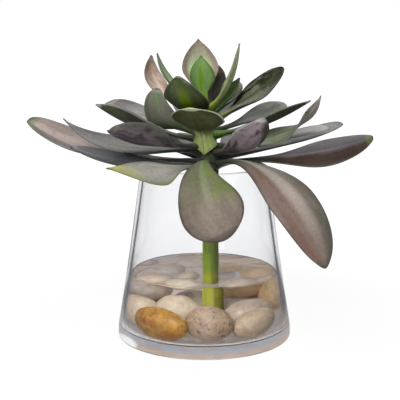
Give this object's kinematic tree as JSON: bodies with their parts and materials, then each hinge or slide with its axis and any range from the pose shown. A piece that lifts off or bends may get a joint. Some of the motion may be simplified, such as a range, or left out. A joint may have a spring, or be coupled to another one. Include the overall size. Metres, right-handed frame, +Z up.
{
  "type": "potted echeveria",
  "caption": "Echeveria rosette on a bare stem, standing in a tapered clear glass vase with pebbles and clear water.",
  "frame": {"origin": "centre of the vase's foot, on the surface it stands on", "axes": "+Z up along the vase's axis, +X to the right and +Y to the back of the plant's front view"},
  "size_m": [0.278, 0.2018, 0.239],
  "materials": {
    "glass": "gloss",
    "water": "gloss",
    "stem": "satin",
    "leaf_outer": "satin",
    "leaf_middle": "satin",
    "leaf_inner": "satin",
    "stone_cream": "satin",
    "stone_tan": "satin",
    "stone_grey": "satin",
    "stone_orange": "satin",
    "stone_speckled": "satin"
  },
  "bodies": {
    "root": {"glass_vase": "glass", "water_fill": "water", "stem": "stem", "leaf_far_left": "leaf_outer", "leaf_left_low": "leaf_outer", "leaf_left_droop": "leaf_outer", "leaf_front_droop": "leaf_outer", "leaf_right_droop": "leaf_outer", "leaf_far_right": "leaf_outer", "leaf_right_back_long": "leaf_outer", "leaf_right_back_mid": "leaf_outer", "leaf_back_right_low": "leaf_outer", "leaf_back_low": "leaf_outer", "leaf_back_left_low": "leaf_outer", "leaf_left_needle": "leaf_middle", "leaf_left_purple": "leaf_middle", "leaf_right_purple": "leaf_middle", "leaf_right_twist": "leaf_middle", "leaf_left_blade": "leaf_middle", "leaf_left_back": "leaf_middle", "leaf_front_fan": "leaf_middle", "leaf_right_blade": "leaf_middle", "leaf_right_back": "leaf_middle", "leaf_back_right": "leaf_middle", "leaf_back": "leaf_middle", "leaf_left_cup": "leaf_middle", "leaf_front_left": "leaf_inner", "leaf_right_tall": "leaf_inner", "leaf_back_brown": "leaf_inner", "leaf_back_left_high": "leaf_inner", "leaf_heart_left": "leaf_inner", "leaf_heart_left_in": "leaf_inner", "leaf_heart_right": "leaf_inner", "leaf_heart_right_in": "leaf_inner", "leaf_heart_back_right": "leaf_inner", "leaf_heart_tall": "leaf_inner", "leaf_heart_inner": "leaf_inner", "pebble_front": "stone_speckled", "pebble_orange": "stone_orange", "pebble_right": "stone_cream", "pebble_left": "stone_cream", "pebble_back_left": "stone_grey", "pebble_back": "stone_cream", "pebble_back_right": "stone_tan", "pebble_centre_left": "stone_cream", "pebble_centre_back": "stone_grey", "pebble_right_top": "stone_grey", "pebble_cream_top": "stone_cream", "pebble_right_wall": "stone_tan", "pebble_left_top": "stone_grey", "pebble_back_top": "stone_grey", "pebble_tan_top": "stone_tan"}
  },
  "joints": []
}
